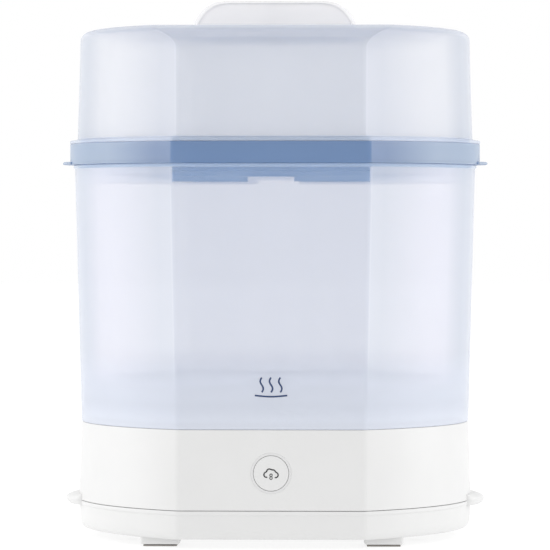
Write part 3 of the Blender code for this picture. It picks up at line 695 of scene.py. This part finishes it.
def bottom_cover():
    wide = BASE_WIDE + 0.0003
    foot = COVER_FOOT
    shell = loft(
        "cover_shell",
        softened(
            [
                (plan(BASE_WIDE - 0.0074, foot + 0.0024), 0),
                (plan(BASE_WIDE - 0.0051, foot + 0.0046), 0.0010),
                (plan(BASE_WIDE - 0.0048, SEAM + 0.0031), 0.0003),
                (plan(BASE_WIDE - 0.0031, SEAM + 0.0031), 0.0003),
                (plan(BASE_WIDE - 0.0031, SEAM), 0.0002),
                (plan(wide, SEAM), 0.0006),
                (plan(wide, SEAM - 0.0024), 0.0008),
                (plan(wide - 0.0007, SEAM - 0.0029), 0.0004),
                (plan(wide - 0.0013, foot + 0.0038), 0.0030),
                (plan(wide - 0.0030, foot + 0.0007), 0.0012),
                (plan(wide - 0.0061, foot), 0.0010),
                (plan(wide - 0.0120, foot), 0),
            ]
        ),
    )
    carve(shell, rods("screw_wells", COVER_SCREWS, 0.0045, foot - 0.01, foot + 0.0085, 32))
    pieces = [shell]
    well = [
        (0.0045, foot + 0.0001, 0),
        (0.0062, foot + 0.0004, 0),
        (0.0062, foot + 0.0094, 0),
        (0.0022, foot + 0.0094, 0),
        (0.0022, foot + 0.0052, 0),
        (0.0045, foot + 0.0052, 0),
    ]
    for x, y in COVER_SCREWS:
        pieces.append(lathe("well", well, True, 32, Matrix.Translation((x, y, 0))))
    low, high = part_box("rubber_foot_front_left")
    middle = (low + high) / 2
    for sx in (-1, 1):
        for sy in (-1, 1):
            centre = (sx * middle.x, sy * middle.y, high.z + GAP + 0.0033)
            pieces.append(rounded_box("foot", (0.0260, 0.0260, 0.0066), centre, 0.0018, 4))
    levels = [
        (0.0060, SEAM - 0.0030),
        (0.0074, SEAM - 0.0024),
        (0.0083, SEAM - 0.0015),
        (0.0087, SEAM - 0.0006),
        (0.0087, SEAM),
    ]
    pieces.append(side_lip(BASE_WIDE - 0.0002, SIDE_LIP, levels))
    finish_piece(merge("cover_shell", pieces), WHITE, "base", ["bottom_cover"])


def rubber_feet():
    """Soft pads with a ribbed sole."""
    for end in ("front_left", "front_right", "rear_left", "rear_right"):
        node = "rubber_foot_" + end
        low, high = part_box(node)
        size, centre = high - low, (low + high) / 2
        pad = rounded_box("pad_" + end, size, centre, 0.00035)
        grooves = []
        for step in (-2, -1, 0, 1, 2):
            groove = (centre.x + 0.0030 * step, centre.y, low.z)
            grooves.append(rounded_box("groove", (0.0010, size.y * 0.7, 0.0006), groove, 0))
        carve(pad, merge("grooves", grooves))
        finish_piece(pad, RUBBER, "base", [node])


def heating_plate():
    top = top_of("heating_plate")
    floor = top - 0.0036
    profile = [
        (0.0004, floor + 0.0002, 0),
        (0.0300, floor, 0),
        (0.0540, floor, 0.0015),
        (0.0585, top - 0.0006, 0.0006),
        (0.0595, top, 0.0008),
        (0.0690, top, 0.0003),
        (0.0690, top - 0.0008, 0.0003),
        (0.0598, top - 0.0008, 0.0005),
        (0.0544, floor - 0.0008, 0.001),
        (0.0004, floor - 0.0008, 0),
    ]
    plate = lathe("heating_dish", profile, steps=128)
    finish_piece(plate, STEEL, "base", ["heating_plate"])


def button():
    profile = [
        (0.0004, 0.0098, 0),
        (0.0026, 0.0098, 0.0003),
        (0.0026, 0.0005, 0.0002),
        (0.0044, 0.0005, 0.0002),
        (0.0044, 0.0019, 0.0002),
        (0.0096, 0.0019, 0.0004),
        (0.0096, 0.0056, 0.0002),
        (0.0134, 0.0056, 0.0002),
        (0.0134, 0.0046, 0.0002),
        (0.0114, 0.0046, 0.0002),
        (0.0114, 0.0001, 0.0003),
        (0.0110, -0.0003, 0.0004),
        (0.0070, -0.00025, 0.0020),
        (0.0004, -0.0001, 0),
    ]
    cap = lathe("button_cap", profile, steps=128, matrix=button_frame)
    finish_piece(cap, WHITE, "button", ["start_button"])

    ring = [
        (0.0160, 0.0042, 0.0002),
        (0.0160, 0.0031, 0.0002),
        (0.01325, 0.0031, 0.0002),
        (0.01325, 0.0, 0.0001),
        (0.0116, 0.0, 0.0001),
        (0.0116, 0.0042, 0.0002),
    ]
    halo = lathe("button_halo", ring, True, 128, button_frame)
    finish_piece(halo, HALO, "base", ["light_ring"])

    puffs = [
        ((-0.0029, -0.0008), 0.0017, 285, 125),
        ((-0.0011, 0.0012), 0.0017, 180, 55),
        ((0.0013, 0.0008), 0.0015, 100, 15),
        ((0.0029, -0.0010), 0.0017, 65, -105),
    ]
    outline = []
    for (x, y), radius, start, stop in puffs:
        for step in range(15):
            turn = math.radians(start + (stop - start) * step / 14)
            outline.append((x + radius * math.cos(turn), -(y + radius * math.sin(turn)), 0))
    on_face = button_frame @ Matrix.Translation((0, 0, -0.00028))
    cloud = ribbon("cloud_mark", [outline], 0.00042, on_face, 0.2)
    turns = [math.pi / 8 * step for step in range(17)]
    drops = []
    for middle in (0.0012, 0.0030):
        drops.append([(0.0008 * math.cos(turn), middle + 0.0009 * math.sin(turn), 0) for turn in turns])
    mark = merge("cloud_mark", [cloud, ribbon("drops", drops, 0.00024, on_face, 0.3)])
    finish_piece(mark, INK, "button", angle=60)


def cord_bush():
    profile = [
        (0.0080, 0.0055, 0.0003),
        (0.0080, 0.0031, 0.0003),
        (0.0061, 0.0031, 0.0002),
        (0.0061, -0.0003, 0.0002),
        (0.0082, -0.0003, 0.0003),
        (0.0082, -0.0022, 0.0006),
        (0.0070, -0.0036, 0.0006),
        (0.0036, -0.0036, 0.0006),
        (0.0036, 0.0055, 0.0003),
    ]
    bush = lathe("cord_bush", profile, True, 72, gland_frame)
    finish_piece(bush, WHITE, "base", ["cord_gland"])


# ---------------------------------------------------------------- bottle tub and rack


def bottle_tub():
    corners = [
        (plan(TUB_WIDE - 0.0130, TUB_FLOOR), 0),
        (plan(TUB_WIDE - 0.0082, TUB_FLOOR), 0.0030),
        (plan(TUB_WIDE - 0.0077, TUB_FLOOR + 0.0051), 0.0020),
        (plan(TUB_WIDE - 0.0032, TUB_RIM - 0.0006, RIM_FACET), 0.0004),
        (plan(TUB_WIDE - 0.0027, TUB_RIM, RIM_FACET), 0.0003),
        (plan(TUB_WIDE, TUB_RIM, RIM_FACET), 0.0005),
        (plan(TUB_WIDE, TUB_RIM - 0.0017, RIM_FACET), 0.0005),
        (plan(TUB_TOP_WIDE, TUB_RIM - 0.0021, RIM_FACET), 0.0004),
        (plan(TUB_FOOT_WIDE, TUB_FOOT), 0.0006),
        (plan(TUB_WIDE - 0.0094, TUB_FOOT), 0.0004),
        (plan(TUB_WIDE - 0.0096, TUB_FOOT - 0.0060), 0.0004),
        (plan(TUB_WIDE - 0.0118, TUB_FOOT - 0.0060), 0.0004),
        (plan(TUB_WIDE - 0.0120, TUB_FLOOR - 0.0019), 0.0006),
        (plan(TUB_WIDE - 0.0169, TUB_FLOOR - 0.0019), 0),
    ]
    tub = loft("tub_wall", softened(corners))
    low, high = TUB_FLOOR - 0.004, TUB_FLOOR + 0.002
    turns = [math.pi / 5 * i for i in range(10)]
    around = [(0.046 * math.cos(turn), 0.046 * math.sin(turn)) for turn in turns]
    carve(
        tub,
        rods("steam_inlet", [(0, 0)], 0.024, low, high, 96),
        rods("steam_holes", around, 0.006, low, high, 32),
    )
    finish_piece(tub, TUB, "tub", ["bottle_tub"])


def steam_sign():
    """Three rising wisps over a dish, low on the front facet."""
    height = 0.1065
    share = (height - TUB_FOOT) / (TUB_RIM - TUB_FOOT)
    foot_y = flat_depth(TUB_FOOT_WIDE, BASE_FACET)
    top_y = flat_depth(TUB_TOP_WIDE, RIM_FACET)
    tilt = math.atan2(top_y - foot_y, TUB_RIM - TUB_FOOT)
    place = Matrix.Translation((0, -(foot_y + (top_y - foot_y) * share) - 0.00004, height))
    place = place @ Matrix.Rotation(math.pi / 2 + tilt, 4, "X")
    strokes = []
    for x in (-0.0060, 0, 0.0060):
        rise = [step / 20 for step in range(21)]
        strokes.append([(x + 0.0010 * math.sin(2 * math.pi * t), -0.0048 + 0.0096 * t, 0) for t in rise])
    along = [step / 12 for step in range(13)]
    strokes.append([(-0.0105 + 0.021 * t, -0.0068 - 0.0008 * math.sin(math.pi * t), 0) for t in along])
    mark = ribbon("steam_sign", strokes, 0.00055, place, 0.15)
    finish_piece(mark, BLUE_INK, "tub", angle=60)


def bottle_rack():
    wide, foot = width_of("bottle_rack"), foot_of("bottle_rack")
    plate_top = RACK_TOP - 0.0012
    plate = loft("rack_plate", [plan(wide - 0.0008, plate_top - 0.0022), plan(wide - 0.0008, plate_top)])
    small = [(x, y) for x in (-0.040, 0.040) for y in (-0.082, -0.022, 0.022, 0.082)]
    low, high = foot, RACK_TOP + 0.004
    carve(
        plate,
        rods("seat_holes", SEATS, 0.0261, low, high, 64),
        rods("finger_hole", [(0, 0)], 0.0140, low, high, 64),
        rods("rack_holes", small, 0.0070, low, high, 32),
    )
    rim = [
        (plan(wide, RACK_TOP), 0.0006),
        (plan(wide - 0.0018, RACK_TOP), 0.0006),
        (plan(wide - 0.0042, foot), 0.0005),
        (plan(wide - 0.0024, foot), 0.0005),
    ]
    pieces = [plate, loft("rack_rim", softened(rim, closed=True), closed=True)]
    collar = [(0.0272, RACK_TOP), (0.0272, foot), (0.0250, foot), (0.0250, RACK_TOP)]
    collar = [(radius, height, 0.0006) for radius, height in collar]
    for x, y in SEATS:
        pieces.append(lathe("collar", collar, True, 64, Matrix.Translation((x, y, 0))))
    finish_piece(merge("rack_layer", pieces), RACK, "rack", ["bottle_rack"])


# ---------------------------------------------------------------- upper tray


def upper_tray():
    floor = BAND_FOOT - 0.0066
    band = BAND_WIDE
    corners = [
        (plan(band - 0.0150, floor), 0),
        (plan(band - 0.0102, floor), 0.0025),
        (plan(band - 0.0091, BAND_FOOT + 0.0016), 0.0008),
        (plan(band - 0.0087, BAND_FOOT + 0.0020), 0.0004),
        (plan(band - 0.0029, BAND_FOOT + 0.0020, RIM_FACET), 0.0012),
        (plan(band - 0.0025, TRAY_TOP, RIM_FACET), 0.0005),
        (plan(band, TRAY_TOP, RIM_FACET), 0.0005),
        (plan(band, BAND_FOOT, RIM_FACET), 0.0005),
        (plan(band - 0.0071, BAND_FOOT, RIM_FACET), 0.0003),
        (plan(band - 0.0075, BAND_FOOT - 0.0048, RIM_FACET), 0.0003),
        (plan(band - 0.0085, BAND_FOOT - 0.0052, RIM_FACET), 0.0003),
        (plan(band - 0.0092, TRAY_SKIRT, RIM_FACET), 0.0004),
        (plan(band - 0.0111, TRAY_SKIRT), 0.0004),
        (plan(band - 0.0113, floor - 0.0020), 0.0005),
        (plan(band - 0.0170, floor - 0.0020), 0),
    ]
    tray = loft("tray_band", softened(corners))
    slots = []
    for row in (-2, -1, 0, 1, 2):
        for x in (-0.060, 0, 0.060):
            slots.append(rounded_box("slot", (0.042, 0.006, 0.010), (x, 0.032 * row, floor), 0))
    notch = rounded_box("notch", (0.0296, 0.290, 0.0060), (0, 0, TRAY_SKIRT + 0.0001), 0)
    carve(tray, merge("slots", slots), notch)
    low = BAND_FOOT + 0.0002
    levels = [
        (0.0042, low),
        (0.0048, low + 0.0003),
        (0.0050, low + 0.0009),
        (0.0048, low + 0.0015),
        (0.0042, low + 0.0018),
    ]
    tray = merge("tray_band", [tray, side_lip(band, TAB, levels)])
    finish_piece(tray, BLUE, "tray", ["upper_tray"])
    tray.data.materials.append(BLUE_SKIRT)
    for face in tray.data.polygons:
        face.material_index = int(face.center.z < BAND_FOOT - 0.0004)


# ---------------------------------------------------------------- lid


def lid_top(inset, drop):
    """The rounded top edge, offset inwards: tight round the ends, and a broad sweep over the facets."""
    edge = flat_depth(LID_WIDE, LID_FACET)
    sweep_height, sweep_depth = 0.0160 - drop / 2, 0.0240
    shoulder = [(0.0, 0.0170 - 0.0012 * step) for step in range(8)]
    for step in range(1, 10):
        turn = math.radians(10 * step)
        shoulder.append((0.0095 * (1 - math.cos(turn)), 0.0062 * (1 - math.sin(turn))))
    rings = []
    for narrower, below in shoulder:
        width = LID_WIDE - inset - narrower + 0.0001 * max(0.0, below - 0.0075) / 0.0095
        rise = max(0.0, min(1.0, 1 - (below - drop / 2) / sweep_height))
        depth = edge - inset - sweep_depth * (1 - math.sqrt(1 - rise**2))
        rings.append(plan(width, LID_TOP - drop - below, flat_reach(width, depth)))
    return rings


def lid():
    skin = 0.0019
    foot = LID_WIDE + 0.0019  # half width of the wall at its foot
    flange = LID_WIDE + 0.0072
    corners = [
        (oval(0.0400, 0.0200, RECESS), 0),
        (oval(0.0565, 0.0345, RECESS), 0.0022),
        (oval(0.0598, 0.0378, LID_TOP), 0.0020),
        *[(ring, 0) for ring in reversed(lid_top(0, 0))],
        (plan(foot, LID_FOOT + 0.0028, LID_FACET), 0.0006),
        (plan(flange - 0.0006, LID_FOOT + 0.0020, RIM_FACET), 0.0004),
        (plan(flange, LID_FOOT + 0.0014, RIM_FACET), 0.0004),
        (plan(flange, LID_FOOT, RIM_FACET), 0.0004),
        (plan(foot + 0.0003, LID_FOOT, LID_FACET), 0.0003),
        (plan(foot, LID_FOOT - 0.0058, LID_FACET), 0.0004),
        (plan(foot - 0.0019, LID_FOOT - 0.0058, LID_FACET), 0.0004),
        *[(ring, 0) for ring in lid_top(skin, skin)],
        (oval(0.0618, 0.0398, LID_TOP - skin), 0.0010),
        (oval(0.0583, 0.0363, RECESS - skin), 0.0022),
        (oval(0.0400, 0.0200, RECESS - skin), 0),
    ]
    shell = loft("lid_dome", softened(corners))
    vents = [(x, y) for x in (-0.022, 0, 0.022) for y in (-0.023, 0.023)]
    slots = [rounded_box("vent", (0.013, 0.003, 0.008), (*at, RECESS), 0) for at in vents]
    screw_hole = rods("handle_hole", [(0, 0)], 0.0024, RECESS - 0.004, RECESS + 0.002)
    carve(shell, screw_hole, merge("vents", slots))
    finish_piece(shell, LID, "lid", ["lid_shell"])


def handle():
    """A hollow fin with rounded shoulders, and a round boss in its middle."""
    top, foot = 0.0, HANDLE_TOP - RECESS - GAP
    outer = [  # (half length, half width, depth below the top)
        (0.0318, 0.0032, top),
        (0.0350, 0.0046, 0.0001),
        (0.0421, 0.0070, 0.0016),
        (0.0482, 0.0090, 0.0055),
        (0.0526, 0.0104, 0.0110),
        (0.0546, 0.0112, 0.0158),
        (0.0550, 0.0120, foot),
    ]
    inner = [
        (0.0528, 0.0098, foot),
        (0.0524, 0.0090, 0.0165),
        (0.0504, 0.0082, 0.0121),
        (0.0461, 0.0069, 0.0072),
        (0.0402, 0.0050, 0.0040),
        (0.0338, 0.0028, 0.0025),
        (0.0298, 0.0018, 0.0023),
    ]
    power = 2.4

    def smoothed(sizes, steps=3):
        """Catmull-Rom sizes between the given ones."""
        knots = [Vector(size) for size in sizes]
        knots = [2 * knots[0] - knots[1], *knots, 2 * knots[-1] - knots[-2]]
        between = []
        for a, b, c, d in zip(knots, knots[1:], knots[2:], knots[3:]):
            for step in range(steps):
                t = step / steps
                rise = (2 * a - 5 * b + 4 * c - d) * t**2 + (3 * b - a - 3 * c + d) * t**3
                between.append(0.5 * (2 * b + (c - a) * t + rise))
        return [*between, knots[-2]]

    rings = []
    for half_x, half_y, down in smoothed(outer) + smoothed(inner):
        rings.append(oval(half_x, half_y, HANDLE_TOP - max(0.0, down), power))
    fin = loft("handle_fin", rings)
    sizes = [size for size in smoothed(outer) if size[2] < 0.0165]
    inset, lower, proud = 0.0026, 0.0016, 0.00002  # where the painted shade line runs, inside the fin's outline
    lines = []
    for side in (-1, 1):
        arch = []
        for sign in (-1, 1):
            half = []
            for half_x, half_y, down in sizes[3:]:
                x = half_x - inset
                y = side * (half_y * (1 - (x / half_x) ** power) ** (1 / power) + proud)
                half.append((sign * x, y, HANDLE_TOP - down - lower))
            arch += reversed(half) if sign < 0 else half
        lines.append(arch)
    # A grey line along the fin's inner outline: painted shade where the hollow wall is seen edge-on.
    edge = ribbon("handle_edge_shade", lines, 0.00030, Matrix.Identity(4))
    finish_piece(edge, EDGE_SHADE_GREY, "lid", angle=60)
    boss_foot, boss_top = RECESS + GAP, HANDLE_TOP - 0.0030
    profile = [(0.0076, boss_top), (0.0076, boss_foot), (0.0021, boss_foot), (0.0021, boss_top)]
    boss = lathe("boss", [(radius, height, 0.0004) for radius, height in profile], True, 48)
    outside = len(fin.data.polygons)
    fin = merge("handle_fin", [fin, boss])
    finish_piece(fin, MILKY, "lid", ["lid_handle"], angle=40)
    fin.data.materials.append(MILKY_CORE)
    for face in fin.data.polygons[outside:]:
        face.material_index = 1


# ---------------------------------------------------------------- everything in place

base_housing()
bottom_cover()
rubber_feet()
heating_plate()
button()
cord_bush()
bottle_tub()
steam_sign()
bottle_rack()
upper_tray()
lid()
handle()

KEPT = {
    "milky_plastic": MILKY_CORE,
    "stainless_steel": SCREW_STEEL,
    "aluminium": ALUMINIUM,
    "silicone": SILICONE,
    "black_plastic": BLACK,
    "white_plastic": WHITE,
    "circuit_board": BOARD,
    "lamp": LAMP,
    "brown_wire": BROWN_WIRE,
    "blue_wire": BLUE_WIRE,
    "earth_wire": EARTH_WIRE,
}
for row in frame["record"]["subparts"]:
    node = frame["nodes"][row["node"]]
    if node.hide_render:
        continue
    node.data.materials.clear()
    node.data.materials.append(KEPT[row["material_slot"]])
    node.data.shade_smooth()
    node.data.set_sharp_from_angle(angle=math.radians(35))

# ---------------------------------------------------------------- floor and light


def floor():
    bm = bmesh.new()
    bmesh.ops.create_grid(bm, x_segments=24, y_segments=24, size=9)
    ground = from_bmesh("floor", bm)
    glow = {"Emission_Strength": 0.70, "Emission_Color": (1, 1, 1, 1)}
    paint = Paint("pale_floor", 0.9, Specular_IOR_Level=0.1, **glow)
    paint.tint((0.34, 0.34, 0.34), 0.01, 3.0)
    paint.bump(paint.noise(60.0), 0.05, 0.001)
    ground.data.materials.append(paint.material)


def softbox(name, place, target, size, power):
    light = bpy.data.lights.new(name, "AREA")
    light.shape = "RECTANGLE"
    light.size, light.size_y = size
    light.energy = power
    obj = bpy.data.objects.new(name, light)
    obj.location = place
    obj.rotation_euler = (Vector(target) - Vector(place)).to_track_quat("-Z", "Y").to_euler()
    bpy.context.scene.collection.objects.link(obj)


def world():
    made = bpy.data.worlds.new("studio")
    made.use_nodes = True
    background = made.node_tree.nodes["Background"]
    background.inputs["Color"].default_value = (1, 1, 1, 1)
    background.inputs["Strength"].default_value = 1.0
    bpy.context.scene.world = made


floor()
world()
softbox("left_softbox", (-1.5, 0.10, 0.45), (0, 0, 0.2), (0.9, 1.5), 8)
softbox("right_softbox", (1.5, 0.10, 0.45), (0, 0, 0.2), (0.9, 1.5), 7)
